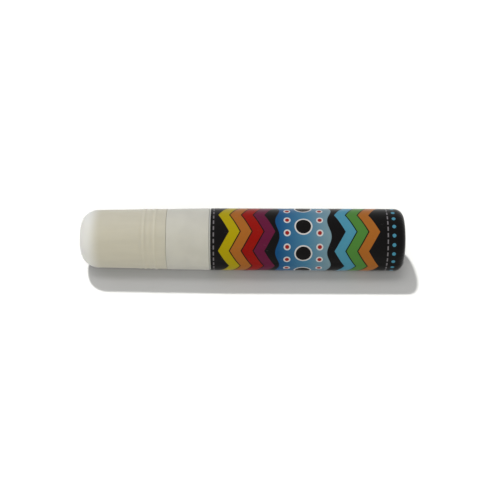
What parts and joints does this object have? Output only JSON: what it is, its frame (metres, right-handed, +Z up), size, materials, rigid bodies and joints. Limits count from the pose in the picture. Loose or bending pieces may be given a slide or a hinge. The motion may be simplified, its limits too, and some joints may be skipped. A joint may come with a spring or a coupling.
{
  "type": "liquid chalk marker",
  "caption": "Broad-nib liquid chalk marker lying on its side, with a push-on cap over a sprung felt nib, a pump valve, loose mixing balls and a printed film round the barrel.",
  "frame": {"origin": "bottom centre of the marker's box as it lies on its side with the cap on, at ground level", "axes": "+X from the cap's end to the tail of the barrel, +Z up, +Y away from the side the picture shows"},
  "size_m": [0.1556, 0.03, 0.0299],
  "materials": {
    "cap_plastic": "satin, slightly translucent warm white",
    "collar_plastic": "satin white",
    "barrel_plastic": "satin white",
    "printed_film": "shrunk film printed black with coloured bands, satin gloss",
    "inner_cap_plastic": "soft milky",
    "valve_plastic": "satin natural",
    "nib_felt": "dense felt, bare",
    "seal_foam": "soft closed-cell foam",
    "spring_steel": "bright drawn wire",
    "ball_steel": "polished"
  },
  "bodies": {
    "barrel_assembly": {"barrel": "barrel_plastic", "label_sleeve": "printed_film", "front_collar": "collar_plastic", "nib_holder": "collar_plastic", "neck_gasket": "seal_foam", "valve_body": "valve_plastic", "valve_cage": "valve_plastic", "valve_spring": "spring_steel"},
    "writing_tip": {"nib": "nib_felt", "valve_stem": "valve_plastic"},
    "cap": {"cap_shell": "cap_plastic", "inner_cap": "inner_cap_plastic"},
    "ball_1": {"mixing_ball_1": "ball_steel"},
    "ball_2": {"mixing_ball_2": "ball_steel"}
  },
  "joints": [
    {"name": "cap_pull", "type": "slide", "parent": "barrel_assembly", "child": "cap", "axis": [-1, 0, 0], "range_m": [0, 0.06]},
    {"name": "nib_press", "type": "slide", "parent": "barrel_assembly", "child": "writing_tip", "axis": [1, 0, 0], "range_m": [0, 0.0025], "stiffness_N_per_m": 1000, "springref_m": -0.004, "deforming": ["valve_spring"]},
    {"name": "ball_1_roll", "type": "slide", "parent": "barrel_assembly", "child": "ball_1", "axis": [1, 0, 0], "range_m": [-0.078, 0.0044]},
    {"name": "ball_2_roll", "type": "slide", "parent": "barrel_assembly", "child": "ball_2", "axis": [1, 0, 0], "range_m": [-0.07, 0.0124]}
  ]
}
